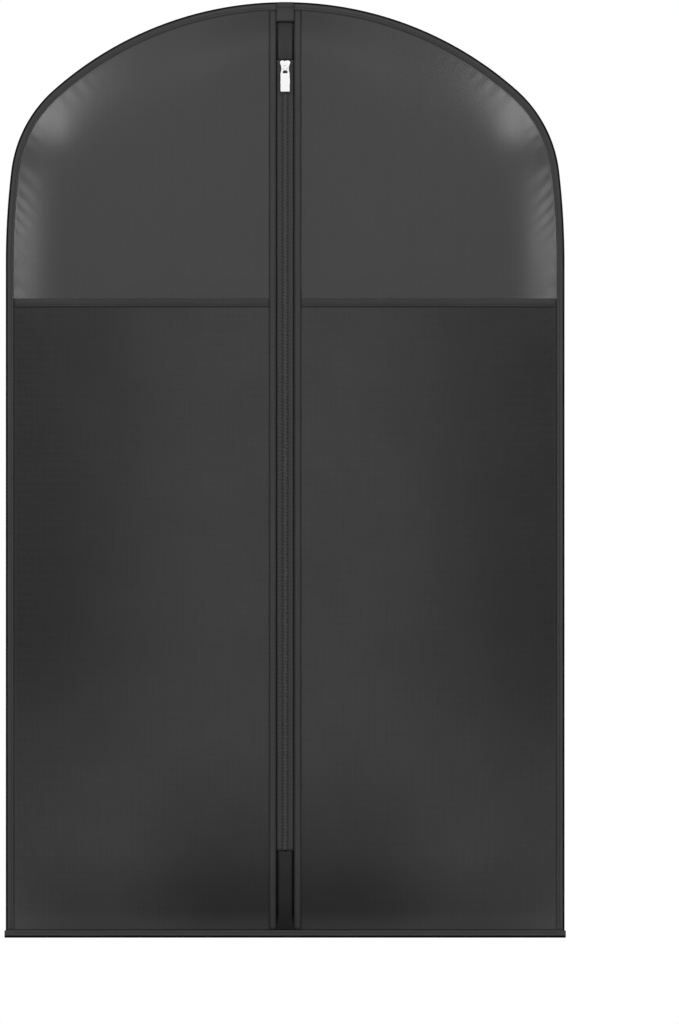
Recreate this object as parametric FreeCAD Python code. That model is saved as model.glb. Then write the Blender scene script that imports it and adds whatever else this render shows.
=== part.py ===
"""Garment bag, 24 in wide and 40 in long, hanging from its hanger mouth.

A flat black suit cover: one back sheet and a front made of two clear windows over two cloth
panels, parted down the middle by a coil zip. A folded binding closes the sides and the round
shoulders, and a second one the hem. The frame is X to the right as the front is faced, the front
towards -Y and +Z up. The origin is the middle of the hanger mouth at the top edge, and the seam
plane, where front and back are sewn together, is y = 0. All sizes are millimetres.
"""

import FreeCAD, Part
import math
import os

# Overall sizes
bag_width = 609.6  # across the hem, 24 in
bag_height = 1016.0  # from the top edge to the hem, 40 in
front_depth = 24.0  # how far the front billows from the seam plane
back_depth = 16.0  # the same for the back, which lies flatter

# Outline of the shoulders: three arcs a side, each tangent to the next
shoulder_radius = 139.8
side_radius = 858.0
crown_angle = math.radians(41.6)  # where the crown arc meets the shoulder arc, from upright
side_angle = math.radians(83.3)  # where the shoulder arc meets the side arc

# Sheets and tapes
cloth = 0.6  # nonwoven sheet of the panels and the back
film = 0.3  # clear window film
binding_cloth = 0.6  # one ply of the folded binding
facing_cloth = 0.9  # folded strip beside the zip
band_cloth = 0.9  # folded strip over the foot of each window
tape_cloth = 0.6  # woven zip tape
tab_cloth = 0.6  # cloth patch at each end of the zip
thread = 0.3  # how proud a seam's thread stands
thread_width = 0.6

# Widths of the trims
binding_width = 8.2
hem_height = 8.0
hem_overhang = 1.4  # the hem binding wraps past each side
facing_inner = 9.7  # from the middle of the zip to the facing's near edge
facing_width = 7.8
panel_tuck = 2.3  # from the facing's near edge to the front sheets' edge beneath it
tape_half_width = 16.0
band_top = -322.0  # height of the band over the foot of the windows
band_height = 9.3

# How the sheets billow from their seams: two slopes, then flat
slope_one = 20.0
slope_two = 30.0
foot_slope_one = 36.0  # the same above the hem, where the sheets rise more slowly
foot_slope_two = 44.0
slope_one_share = 0.55  # of the full depth, reached at the end of the first slope

# Zip
coil_width = 6.4  # both halves together
coil_height = 2.2
coil_gap = 0.3  # between the two halves
tab_lip_gap = 1.3  # from the chute of the hanger mouth to the upper tab's hidden end
tab_top_end = 62.8
tab_bottom_length = 86.4  # above the hem binding

# Slider and pull
slider_width = 11.3
slider_foot_width = 9.0
slider_length = 11.8
slider_plate = 1.2
slider_clearance = 0.35  # round the coil and the tape
slider_notch = 1.8
slider_wedge = 4.2  # height of the wedge that parts the coil, from the slider's top
slider_wedge_width = 2.4
lobe_radius = 2.9
bail_width = 3.2
bail_post = 1.0
bail_reach = 2.0  # from the pull's pin to each post's near face
bail_inside = 2.5  # clear height under the bail's bridge
bail_bridge = 1.2
pull_pin_drop = 8.6  # the pull's pin below the slider's top
pull_pin_radius = 0.75
pull_length = 25.5  # from the pin to the pull's foot
pull_width = 10.1
pull_neck_width = 8.4
pull_plate = 1.2
pull_hole_width = 5.0
pull_hole_length = 5.4

# Hanger mouth, a short chute of cloth whose lips spread at the top edge
mouth_gap = 6.8  # clear, front to back
mouth_corner = 1.8  # how far each corner of the mouth is cut in
mouth_facing_length = 22.3  # from the top edge down over the zip's upper tab
mouth_facing_cloth = 0.6

# Clearances
swing_gap = 0.4  # between a moving front and the binding, the hem and the zip's tabs
side_gap = 0.3  # between parts on different bodies that slide past each other

# Seams, from the edge that they follow
binding_seam_inset = 5.6
hem_seam_inset = 5.2
facing_seam_inset = 1.1
band_seam_inset = 1.2

BIG = 4.0 * (bag_width + bag_height)

body_half = bag_width / 2 - hem_overhang
rim = binding_width
front_rim = rim + swing_gap
facing_outer = facing_inner + facing_width
panel_inner = facing_inner + panel_tuck
band_middle = band_top - band_height / 2
tape_inner = slider_wedge_width / 2 + side_gap
mouth_half = facing_inner - side_gap
lip_face = mouth_gap / 2 + mouth_facing_cloth
crown_radius = (
    body_half
    - side_radius * (1 - math.sin(side_angle))
    - shoulder_radius * (math.sin(side_angle) - math.sin(crown_angle))
) / math.sin(crown_angle)
slider_top = -(tab_top_end + side_gap + 0.6)
tab_bottom_top = -bag_height + hem_height + tab_bottom_length
slider_travel = (slider_top - slider_length) - (tab_bottom_top + side_gap)


def vector(x, y, z):
    return FreeCAD.Vector(x, y, z)


def toward(angle):
    """Unit vector in the X-Z plane, at an angle from straight up towards +X."""
    return vector(math.sin(angle), 0, math.cos(angle))


CROWN_CENTRE = vector(0, 0, -crown_radius)
SHOULDER_CENTRE = CROWN_CENTRE + toward(crown_angle) * (crown_radius - shoulder_radius)
SIDE_CENTRE = SHOULDER_CENTRE + toward(side_angle) * (shoulder_radius - side_radius)


def mirrored(point):
    return vector(-point.x, point.y, point.z)


def outline(inset, y, foot=None):
    """The bag's outline moved in by inset, as a closed wire at depth y, with its lower edge at foot."""
    foot = inset - binding_width + hem_height - bag_height if foot is None else foot
    crown, shoulder, side = (
        radius - inset for radius in (crown_radius, shoulder_radius, side_radius)
    )
    lift = vector(0, y, 0)
    top = CROWN_CENTRE + toward(0) * crown + lift
    crown_end = CROWN_CENTRE + toward(crown_angle) * crown + lift
    shoulder_mid = SHOULDER_CENTRE + toward((crown_angle + side_angle) / 2) * shoulder + lift
    shoulder_end = SHOULDER_CENTRE + toward(side_angle) * shoulder + lift
    side_mid = SIDE_CENTRE + toward((side_angle + math.pi / 2) / 2) * side + lift
    side_end = SIDE_CENTRE + toward(math.pi / 2) * side + lift
    corner = vector(side_end.x, y, foot)
    edges = [
        Part.Arc(mirrored(crown_end), top, crown_end),
        Part.Arc(crown_end, shoulder_mid, shoulder_end),
        Part.Arc(shoulder_end, side_mid, side_end),
        Part.LineSegment(side_end, corner),
        Part.LineSegment(corner, mirrored(corner)),
        Part.LineSegment(mirrored(corner), mirrored(side_end)),
        Part.Arc(mirrored(side_end), mirrored(side_mid), mirrored(shoulder_end)),
        Part.Arc(mirrored(shoulder_end), mirrored(shoulder_mid), mirrored(crown_end)),
    ]
    return Part.Wire([edge.toShape() for edge in edges])


def plate(inset, y_low, y_high, foot=None):
    """A flat plate of the bag's outline, between two depths."""
    face = Part.Face(outline(inset, y_low, foot))
    return face.extrude(vector(0, y_high - y_low, 0))


def billow(start, depth, side, shift):
    """The solid under a sheet that billows from its seam at start, on side -1 (front) or +1 (back)."""
    foot = start - binding_width + hem_height - bag_height
    stations = [
        (0, 0, cloth),
        (slope_one, foot_slope_one, slope_one_share * depth),
        (slope_one + slope_two, foot_slope_one + foot_slope_two, depth),
    ]
    wires = [
        outline(start + run, side * (y - shift), foot + foot_run)
        for run, foot_run, y in stations
    ]
    return Part.makeLoft(wires, True, True)


def box(x_low, x_high, z_low, z_high, y_low=-BIG, y_high=BIG):
    return Part.makeBox(
        x_high - x_low, y_high - y_low, z_high - z_low, vector(x_low, y_low, z_low)
    )


def front_layer(shift_out, shift_in):
    """The layer of the front between two depths behind its outer face, shift_out and shift_in."""
    outer = billow(front_rim, front_depth, -1, shift_out)
    rim_wall = plate(front_rim, shift_out - cloth, shift_in - cloth)
    inner = billow(front_rim, front_depth, -1, shift_in)
    return outer.fuse(rim_wall).cut(inner).removeSplitter()


def in_x(side, near, far):
    """The X range from near to far on side -1 or +1, low value first."""
    return (side * far, side * near) if side < 0 else (near, far)


def piece_of(layer, side, near, far, z_low, z_high):
    x_low, x_high = in_x(side, near, far)
    return layer.common(box(x_low, x_high, z_low, z_high))


def save(name, shape):
    """Writes one named sub-part, which must be whole closed solids."""
    solids = shape.Solids
    if not solids or not all(solid.isValid() and solid.Volume > 0 for solid in solids):
        raise ValueError(f"{name} isn't made of valid solids")
    made = solids[0] if len(solids) == 1 else Part.Compound(solids)
    made.exportStep(os.path.join("parts", name + ".step"))
    size = made.BoundBox
    print(
        f"{name}: {len(solids)} solid(s), {made.Volume / 1000:.2f} cm3, "
        f"{size.XLength:.1f} x {size.YLength:.1f} x {size.ZLength:.1f}"
    )


# Back sheet: its margin lies in the bindings and its middle billows to the rear


def back_panel():
    margin = plate(binding_cloth, 0, cloth, binding_cloth - bag_height)
    sheet = margin.fuse(billow(rim, back_depth, 1, 0)).cut(billow(rim, back_depth, 1, cloth))
    return sheet.cut(mouth_chute(0, back_lip_foot)).removeSplitter()


def front_seam_margin():
    """The edge of the front sheets that is sewn in all round and stays put when the front opens."""
    ring = plate(binding_cloth, -cloth, 0, binding_cloth - bag_height).cut(plate(rim, -BIG, BIG))
    return ring.cut(mouth_chute(0, crown_radius))


# Bindings: cloth folded over the edge, front and back


def edge_binding(side):
    """One side's binding, from the hem up and round the shoulder to the hanger mouth."""
    half = cloth + binding_cloth
    fold = plate(0, -half, half).cut(plate(rim, -BIG, BIG))
    fold = fold.cut(plate(binding_cloth, -cloth, cloth, -bag_height))
    return piece_of(fold, side, mouth_half, BIG, hem_height - bag_height, BIG)


def hem_binding():
    """Two plies a side, folded under the bag's foot and past its sides."""
    half_depth = cloth + 2 * binding_cloth
    foot = -bag_height
    strip = box(
        -bag_width / 2, bag_width / 2, foot, foot + hem_height, -half_depth, half_depth
    )
    inside = body_half - binding_cloth
    slot = box(-inside, inside, foot + binding_cloth, BIG, -cloth, cloth)
    return strip.cut(slot)


# Hanger mouth: a strip of cloth lines each lip and runs down onto the sheet below it


def mouth_chute(wall, depth):
    """The mouth as a solid, with its sides moved in by wall, down to a depth below the top edge."""
    near = mouth_half - mouth_corner
    binding_face = cloth + binding_cloth
    quarter = [(mouth_half, binding_face), (near, lip_face)]
    corners = quarter + [(-x, y) for x, y in reversed(quarter)]
    corners += [(x, -y) for x, y in reversed(corners)]
    points = [vector(x, y, -depth) for x, y in corners]
    loop = Part.makePolygon(points + points[:1])
    if wall:
        loop = loop.makeOffset2D(-wall, 2)
    return Part.Face(loop).extrude(vector(0, 0, depth + (BIG if wall == 0 else 0)))


def lip_foot(start, depth):
    """How far below the top edge a lip meets the sheet that billows from the seam at start."""
    return start + slope_one * (lip_face - cloth) / (slope_one_share * depth - cloth)


front_lip_foot = lip_foot(front_rim, front_depth)
back_lip_foot = lip_foot(rim, back_depth)


def mouth_lining(side, depth):
    """The chute's cloth wall on one side of the seam plane."""
    y_low, y_high = sorted((0, side * BIG))
    outside = mouth_chute(0, depth).common(box(-BIG, BIG, -BIG, 0))
    return outside.cut(mouth_chute(mouth_facing_cloth, depth)).common(
        box(-BIG, BIG, -BIG, BIG, y_low, y_high)
    )


def mouth_facing_front():
    """The front lip, which goes on down over the upper tab and lies on its face."""
    layer = front_layer(cloth - mouth_facing_cloth, cloth)
    apron = layer.common(box(-mouth_half, mouth_half, -mouth_facing_length, -front_lip_foot))
    return mouth_lining(-1, front_lip_foot).fuse(apron).removeSplitter()


def mouth_facing_back():
    return mouth_lining(1, back_lip_foot)


# Fronts: each half of the front swings open from its side seam


def window(side):
    return piece_of(front_layer(0, film), side, panel_inner, BIG, band_middle, BIG)


def panel(side):
    return piece_of(front_layer(0, cloth), side, panel_inner, BIG, -BIG, band_middle)


def window_band(side):
    low = band_top - band_height
    return piece_of(front_layer(-band_cloth, 0), side, facing_outer, BIG, low, band_top)


def band_stitching(side):
    low = band_top - band_height + band_seam_inset
    layer = front_layer(-band_cloth - thread, -band_cloth)
    return piece_of(layer, side, facing_outer, BIG, low, low + thread_width)


def zip_facing(side):
    return piece_of(front_layer(-facing_cloth, 0), side, facing_inner, facing_outer, -BIG, BIG)


def facing_stitching(side):
    layer = front_layer(-facing_cloth - thread, -facing_cloth)
    near = facing_inner + facing_seam_inset
    far = facing_outer - facing_seam_inset - thread_width
    rows = [piece_of(layer, side, x, x + thread_width, -BIG, BIG) for x in (near, far)]
    return Part.Compound([solid for row in rows for solid in row.Solids])


def zip_tape(side):
    low, high = tab_bottom_top + swing_gap, -tab_top_end - swing_gap
    layer = front_layer(cloth, cloth + tape_cloth)
    return piece_of(layer, side, tape_inner, tape_half_width, low, high)


def zip_coil(side):
    """One half of the coil as a bar, which ends under the slider's wedge."""
    low = tab_bottom_top + swing_gap
    high = slider_top - slider_wedge - side_gap
    layer = front_layer(cloth - coil_height, cloth)
    bar = piece_of(layer, side, coil_gap / 2, coil_width / 2, low, high)
    face = -front_depth + cloth - coil_height
    rounded = [
        edge
        for edge in bar.Edges
        if edge.BoundBox.ZLength > (high - low) / 2
        and abs(edge.BoundBox.YMin - face) < 1e-6
        and abs(abs(edge.BoundBox.XMin) - coil_width / 2) < 1e-6
    ]
    return bar.makeFillet(coil_height / 3, rounded)


# Cloth tabs that close the front above and below the zip and stop its slider


def zip_tab(low, high):
    layer = front_layer(cloth, cloth + tab_cloth)
    return layer.common(box(-tape_half_width, tape_half_width, low, high))


def zip_tab_top():
    return zip_tab(-tab_top_end, -front_lip_foot - tab_lip_gap)


def zip_tab_bottom():
    """Runs down behind the facings. Between them it turns forward and is sewn in at the hem."""
    hem_top = hem_height - bag_height
    rise = slope_one_share * front_depth - cloth
    turn = hem_top + swing_gap + foot_slope_one * tab_cloth / rise
    foot = box(-mouth_half, mouth_half, hem_top, turn, -cloth, tab_cloth - cloth)
    return zip_tab(turn, tab_bottom_top).fuse(foot).removeSplitter()


# Slider: two plates joined by a wedge, side walls that leave a slot for the tapes, and the bail

coil_face = -front_depth + cloth - coil_height
tape_back = -front_depth + cloth + tape_cloth
slider_front_inner = coil_face - slider_clearance
slider_front = slider_front_inner - slider_plate
slider_back_inner = tape_back + slider_clearance
pin_y = slider_front - bail_inside / 2
pin_z = slider_top - pull_pin_drop


def slider_plan(y, thickness):
    """The slider's heart-shaped plate: two lobes at the top, narrowing to the foot."""
    foot = slider_top - slider_length
    half = slider_width / 2
    foot_half = slider_foot_width / 2
    lobe_x = half - lobe_radius
    lobe_z = slider_top - lobe_radius
    corners = [
        (foot_half, foot),
        (half, lobe_z),
        (lobe_x, lobe_z),
        (0, slider_top - slider_notch),
        (-lobe_x, lobe_z),
        (-half, lobe_z),
        (-foot_half, foot),
    ]
    points = [vector(x, y, z) for x, z in corners]
    body = Part.Face(Part.makePolygon(points + points[:1])).extrude(vector(0, thickness, 0))
    for x in (-lobe_x, lobe_x):
        centre = vector(x, y, lobe_z)
        body = body.fuse(Part.makeCylinder(lobe_radius, thickness, centre, vector(0, 1, 0)))
    return body.removeSplitter()


def zip_slider():
    front = slider_plan(slider_front, slider_plate)
    rear = slider_plan(slider_back_inner, slider_plate)
    core = slider_plan(slider_front_inner, slider_back_inner - slider_front_inner)
    wedge_half = slider_wedge_width / 2
    channel_half = coil_width / 2 + slider_clearance
    wedge_foot = slider_top - slider_wedge
    wedge = core.common(box(-wedge_half, wedge_half, wedge_foot, BIG))
    walls = core.cut(box(-channel_half, channel_half, -BIG, wedge_foot))
    for side in (-1, 1):
        x_low, x_high = in_x(side, wedge_half, wedge_half + channel_half)
        walls = walls.cut(box(x_low, x_high, wedge_foot - 1, BIG))
    slot_front = -front_depth + cloth - slider_clearance
    walls = walls.cut(box(-BIG, BIG, -BIG, BIG, slot_front, slider_back_inner))
    return front.fuse([rear, walls, wedge, bail()]).removeSplitter()


def bail():
    """The arch on the slider's face that the pull hangs in."""
    reach = bail_reach + bail_post
    arch = box(
        -bail_width / 2,
        bail_width / 2,
        pin_z - reach,
        pin_z + reach,
        slider_front - bail_inside - bail_bridge,
        slider_front,
    )
    opening = box(
        -BIG, BIG, pin_z - bail_reach, pin_z + bail_reach, slider_front - bail_inside, slider_front
    )
    outer = [
        edge
        for edge in arch.Edges
        if edge.BoundBox.XLength > bail_width / 2
        and abs(edge.BoundBox.YMin - (slider_front - bail_inside - bail_bridge)) < 1e-6
    ]
    return arch.makeFillet(bail_bridge * 0.8, outer).cut(opening)


def zip_pull():
    """A flat tab with a hole at its neck. The bar above the hole is the pin that turns in the bail."""
    foot = pin_z - pull_length
    neck_half, foot_half = pull_neck_width / 2, pull_width / 2
    corners = [
        (-neck_half, pin_z + pull_pin_radius),
        (neck_half, pin_z + pull_pin_radius),
        (foot_half, pin_z - pull_hole_length),
        (foot_half, foot),
        (-foot_half, foot),
        (-foot_half, pin_z - pull_hole_length),
    ]
    y = pin_y - pull_plate / 2
    points = [vector(x, y, z) for x, z in corners]
    tab = Part.Face(Part.makePolygon(points + points[:1])).extrude(vector(0, pull_plate, 0))
    corner_edges = [edge for edge in tab.Edges if edge.BoundBox.YLength > pull_plate / 2]
    tab = tab.makeFillet(0.8, corner_edges)
    half = pull_hole_width / 2
    hole = box(-half, half, pin_z - pull_hole_length, BIG)
    pin = Part.makeCylinder(
        pull_pin_radius, 2 * neck_half - 1.6, vector(-neck_half + 0.8, pin_y, pin_z), vector(1, 0, 0)
    )
    return tab.cut(hole).fuse(pin).removeSplitter()


# Seams: the lines of thread that hold the bindings and the tabs


def edge_stitching():
    """One line of thread round the edge binding, on its front and on its back."""
    face = cloth + binding_cloth
    lines = []
    for side in (-1, 1):
        y_low, y_high = sorted((side * face, side * (face + thread)))
        line = plate(binding_seam_inset, y_low, y_high)
        line = line.cut(plate(binding_seam_inset + thread_width, -BIG, BIG))
        for half in (-1, 1):
            run = piece_of(line, half, mouth_half, BIG, hem_height - bag_height, BIG)
            lines += run.Solids
    return Part.Compound(lines)


def hem_stitching():
    face = cloth + 2 * binding_cloth
    z = hem_seam_inset - bag_height
    half = body_half - binding_width
    lines = []
    for side in (-1, 1):
        y_low, y_high = sorted((side * face, side * (face + thread)))
        lines.append(box(-half, half, z, z + thread_width, y_low, y_high))
    return Part.Compound(lines)


def main():
    os.makedirs("parts", exist_ok=True)
    save("back_panel", back_panel())
    save("front_seam_margin", front_seam_margin())
    save("hem_binding", hem_binding())
    save("mouth_facing_front", mouth_facing_front())
    save("mouth_facing_back", mouth_facing_back())
    save("zip_tab_top", zip_tab_top())
    save("zip_tab_bottom", zip_tab_bottom())
    save("edge_stitching", edge_stitching())
    save("hem_stitching", hem_stitching())
    for name, side in (("left", -1), ("right", 1)):
        save("edge_binding_" + name, edge_binding(side))
        save("window_" + name, window(side))
        save("panel_" + name, panel(side))
        save("window_band_" + name, window_band(side))
        save("band_stitching_" + name, band_stitching(side))
        save("zip_facing_" + name, zip_facing(side))
        save("facing_stitching_" + name, facing_stitching(side))
        save("zip_tape_" + name, zip_tape(side))
        save("zip_coil_" + name, zip_coil(side))
    save("zip_slider", zip_slider())
    save("zip_pull", zip_pull())
    print(f"slider travel {slider_travel:.3f}, pin at y {pin_y:.3f} z {pin_z:.3f}")
    print(f"hinge at x {body_half - front_rim:.3f}, crown radius {crown_radius:.2f}")


main()
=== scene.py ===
import math
import random

import bmesh
import bpy
import numpy as np
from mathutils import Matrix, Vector


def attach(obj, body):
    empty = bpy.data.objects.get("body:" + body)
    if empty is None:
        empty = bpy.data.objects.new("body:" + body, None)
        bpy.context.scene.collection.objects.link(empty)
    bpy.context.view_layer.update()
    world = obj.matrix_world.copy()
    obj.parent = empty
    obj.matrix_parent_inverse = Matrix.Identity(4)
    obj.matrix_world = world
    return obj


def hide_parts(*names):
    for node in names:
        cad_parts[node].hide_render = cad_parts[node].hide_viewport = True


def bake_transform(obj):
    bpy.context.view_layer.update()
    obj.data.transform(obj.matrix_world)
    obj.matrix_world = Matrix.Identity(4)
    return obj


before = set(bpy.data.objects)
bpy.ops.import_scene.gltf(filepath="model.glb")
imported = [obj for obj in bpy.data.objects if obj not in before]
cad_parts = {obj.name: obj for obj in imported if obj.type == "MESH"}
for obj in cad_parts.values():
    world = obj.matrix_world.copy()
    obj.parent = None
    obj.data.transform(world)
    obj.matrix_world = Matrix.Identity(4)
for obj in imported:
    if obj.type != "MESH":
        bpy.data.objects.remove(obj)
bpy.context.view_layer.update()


# Camera. It looks straight at the front from a long way off, level with the middle of the bag,
# and stands a little to the right, so the bag sits left of centre.

camera_data = bpy.data.cameras.new("camera")
camera_data.lens = 777.0
camera_data.sensor_width = 36.0
camera_data.clip_end = 200.0
camera = bpy.data.objects.new("camera", camera_data)
bpy.context.scene.collection.objects.link(camera)
camera.location = (0.0590, -24.0, -0.5537)
camera.rotation_euler = (math.radians(90), 0, 0)
bpy.context.scene.camera = camera


# Back sheet. One piece of thin black cloth, cut to the round-shouldered outline. It is sewn in all
# round under the bindings, lies nearly flat, and billows a little from its seam.

HALF_WIDTH = 0.3034
HEIGHT = 1.016
HEM = 0.008
RIM = 0.0082
CLOTH = 0.0006
SHOULDER_TURN = math.radians(41.6)
SIDE_TURN = math.radians(83.3)
SHOULDER_RADIUS = 0.1398
SIDE_RADIUS = 0.858
CROWN_RADIUS = (
    HALF_WIDTH
    - SIDE_RADIUS * (1 - math.sin(SIDE_TURN))
    - SHOULDER_RADIUS * (math.sin(SIDE_TURN) - math.sin(SHOULDER_TURN))
) / math.sin(SHOULDER_TURN)
CROWN_CENTRE = np.array((0.0, -CROWN_RADIUS))
SHOULDER_CENTRE = CROWN_CENTRE + (CROWN_RADIUS - SHOULDER_RADIUS) * np.array(
    (math.sin(SHOULDER_TURN), math.cos(SHOULDER_TURN))
)
SIDE_CENTRE = SHOULDER_CENTRE + (SHOULDER_RADIUS - SIDE_RADIUS) * np.array(
    (math.sin(SIDE_TURN), math.cos(SIDE_TURN))
)
BACK_FULLNESS = 0.0142
BACK_FOLD = 0.0011
MOUTH_HALF = 0.0094
MOUTH_LIP = 0.0039


def outline(step, start=0.0, foot=HEM - HEIGHT):
    """Points (x, z) and outward directions down the right-hand edge, from x = start to the foot."""
    first = math.asin(start / CROWN_RADIUS)
    points, outward = [], []
    arcs = [
        (CROWN_CENTRE, CROWN_RADIUS, first, SHOULDER_TURN),
        (SHOULDER_CENTRE, SHOULDER_RADIUS, SHOULDER_TURN, SIDE_TURN),
        (SIDE_CENTRE, SIDE_RADIUS, SIDE_TURN, math.pi / 2),
    ]
    for centre, radius, low, high in arcs:
        count = max(2, round(radius * (high - low) / step))
        for angle in np.linspace(low, high, count, endpoint=False):
            way = np.array((math.sin(angle), math.cos(angle)))
            points.append(centre + radius * way)
            outward.append(way)
    count = max(2, round((SIDE_CENTRE[1] - foot) / step))
    for z in np.linspace(SIDE_CENTRE[1], foot, count):
        points.append(np.array((HALF_WIDTH, z)))
        outward.append(np.array((1.0, 0.0)))
    return np.array(points), np.array(outward)


def seam_inset(x, z):
    """How far a point lies inside the bag's side and shoulder edge."""
    x = np.abs(x)

    def from_centre(centre):
        return np.hypot(x - centre[0], z - centre[1]), np.arctan2(x - centre[0], z - centre[1])

    crown, crown_angle = from_centre(CROWN_CENTRE)
    shoulder, shoulder_angle = from_centre(SHOULDER_CENTRE)
    side, side_angle = from_centre(SIDE_CENTRE)
    near_shoulder = (shoulder_angle >= SHOULDER_TURN) & (shoulder_angle <= SIDE_TURN)
    inset = np.where(near_shoulder, SHOULDER_RADIUS - shoulder, SHOULDER_RADIUS)
    inset = np.where(crown_angle < SHOULDER_TURN, CROWN_RADIUS - crown, inset)
    inset = np.where((side_angle >= SIDE_TURN) & (z > SIDE_CENTRE[1]), SIDE_RADIUS - side, inset)
    return np.where(z <= SIDE_CENTRE[1], HALF_WIDTH - x, inset)


def eased(value):
    value = np.clip(value, 0, 1)
    return value * value * (3 - 2 * value)


def billow(x, z, start):
    """How full the bag is at a point, from 0 at the seam to 1 where the sheet is furthest out."""
    run = 0.050 + 0.045 * eased((np.abs(x) - 0.015) / 0.12)
    from_seam = np.clip((seam_inset(x, z) - start) / run, 0, 1)
    from_hem = np.clip((z + HEIGHT - HEM - (start - RIM)) / 0.084, 0, 1)
    return np.sin(from_seam * math.pi / 2) * np.sin(from_hem * math.pi / 2)


def soft_folds(x, z, seed, size):
    """Faint long folds of hanging cloth, as a height between about -1 and 1."""
    dice = random.Random(seed)
    height = np.zeros_like(x)
    for _ in range(7):
        lean = dice.uniform(-0.5, 0.5)
        length = size * dice.uniform(0.7, 1.9)
        phase = dice.uniform(0, 2 * math.pi)
        slow = dice.uniform(2.0, 5.0)
        along = x + lean * z
        height += np.sin(2 * math.pi * along / length + phase + 0.8 * np.sin(slow * z + phase))
    return height / 7


def sheet_mesh(name, xs, tops, foot, rows, surface, side):
    """A sheet laid out in columns, each from its top down to foot. surface gives y at (x, z).
    side is -1 where the sheet's good face looks to the front, +1 to the rear."""
    grid_x = np.repeat(np.asarray(xs)[:, None], len(rows), 1)
    tops = (np.zeros(len(xs)) + tops)[:, None]
    grid_z = tops + (foot - tops) * rows
    vertices = np.stack([grid_x, surface(grid_x, grid_z), grid_z], -1).reshape(-1, 3)
    deep = len(rows)
    faces = []
    for i in range(len(xs) - 1):
        for j in range(deep - 1):
            a = i * deep + j
            corners = (a, a + deep, a + deep + 1, a + 1)
            faces.append(corners if side > 0 else corners[::-1])
    return cloth_object(name, vertices, faces)


def placed(name, data):
    made = bpy.data.objects.new(name, data)
    bpy.context.scene.collection.objects.link(made)
    return made


def cloth_object(name, vertices, faces, uv=None):
    """A smooth mesh whose UV map is the cut cloth's own size in metres, so a weave keeps its scale."""
    mesh = bpy.data.meshes.new(name)
    mesh.from_pydata([tuple(v) for v in vertices], [], [tuple(f) for f in faces])
    mesh.validate()
    flat = mesh.uv_layers.new(name="cut")
    where = np.asarray(vertices)[:, [0, 2]] if uv is None else np.asarray(uv)
    corner = np.zeros(len(mesh.loops), int)
    mesh.loops.foreach_get("vertex_index", corner)
    flat.data.foreach_set("uv", where[corner].astype(np.float32).ravel())
    mesh.polygons.foreach_set("use_smooth", np.ones(len(mesh.polygons), bool))
    mesh.update()
    return placed(name, mesh)


def thicken(piece, thickness):
    """Gives a sheet its thickness, behind its good face."""
    ply = piece.modifiers.new("ply", "SOLIDIFY")
    ply.thickness = thickness
    ply.offset = -1.0
    ply.use_even_offset = True


def feed(socket, value):
    """Joins a socket to a node's output, or sets it to a plain value."""
    if hasattr(value, "node"):
        socket.id_data.links.new(value, socket)
    else:
        socket.default_value = value


def add_node(tree, kind, inputs=None, **settings):
    made = tree.nodes.new(kind)
    for key, value in settings.items():
        setattr(made, key, value)
    for key, value in (inputs or {}).items():
        feed(made.inputs[key], value)
    return made


class Recipe:
    """Lays out the nodes of one material."""

    def __init__(self, name):
        self.material = bpy.data.materials.new(name)
        self.material.use_nodes = True
        self.tree = self.material.node_tree
        self.shader = self.tree.nodes["Principled BSDF"]
        self.place = self.node("ShaderNodeUVMap", uv_map="cut").outputs["UV"]

    def node(self, kind, inputs=None, **settings):
        return add_node(self.tree, kind, inputs, **settings)

    def noise(self, across, along, detail=2.0):
        """Mottling over the cut cloth, drawn out into streaks where across and along differ."""
        scaled = self.node("ShaderNodeMapping", {"Vector": self.place, "Scale": (across, along, 1)})
        inputs = {"Vector": scaled.outputs["Vector"], "Scale": 1.0, "Detail": detail}
        return self.node("ShaderNodeTexNoise", inputs, noise_dimensions="2D").outputs["Fac"]

    def part(self, axis):
        return self.node("ShaderNodeSeparateXYZ", {0: self.place}).outputs[axis]

    def rising(self, value, low, high):
        """0 below low, 1 above high, smooth between."""
        inputs = {"Value": value, "From Min": low, "From Max": high}
        return self.node("ShaderNodeMapRange", inputs, interpolation_type="SMOOTHSTEP").outputs["Result"]

    def falling(self, value, low, high):
        return self.maths("SUBTRACT", 1.0, self.rising(value, low, high))

    def ribs(self, direction, step):
        """Parallel threads as a wave from 0 to 1. A thread with its gap is 2 pi steps wide."""
        inputs = {"Vector": self.place, "Scale": 1 / (step * 20), "Detail": 1.0, "Detail Scale": 1.0}
        wave = self.node("ShaderNodeTexWave", inputs, wave_type="BANDS", bands_direction=direction)
        return wave.outputs["Fac"]

    def maths(self, operation, a, b=0.0, c=0.0):
        return self.node("ShaderNodeMath", {0: a, 1: b, 2: c}, operation=operation).outputs[0]

    def spread(self, value, low, high, to_low, to_high):
        inputs = {"Value": value, "From Min": low, "From Max": high, "To Min": to_low, "To Max": to_high}
        return self.node("ShaderNodeMapRange", inputs).outputs["Result"]

    def shade(self, value, dark, light):
        """A colour between dark and light greys, by value."""
        ramp = self.node("ShaderNodeValToRGB", {"Fac": value})
        ramp.color_ramp.elements[0].color = (*dark, 1)
        ramp.color_ramp.elements[1].color = (*light, 1)
        self.set(Base_Color=ramp.outputs["Color"])

    def bump(self, height, distance, strength=1.0):
        inputs = {"Height": height, "Distance": distance, "Strength": strength}
        self.set(Normal=self.node("ShaderNodeBump", inputs).outputs["Normal"])

    def set(self, **sockets):
        for key, value in sockets.items():
            feed(self.shader.inputs[key.replace("_", " ")], value)
        return self.material


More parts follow.
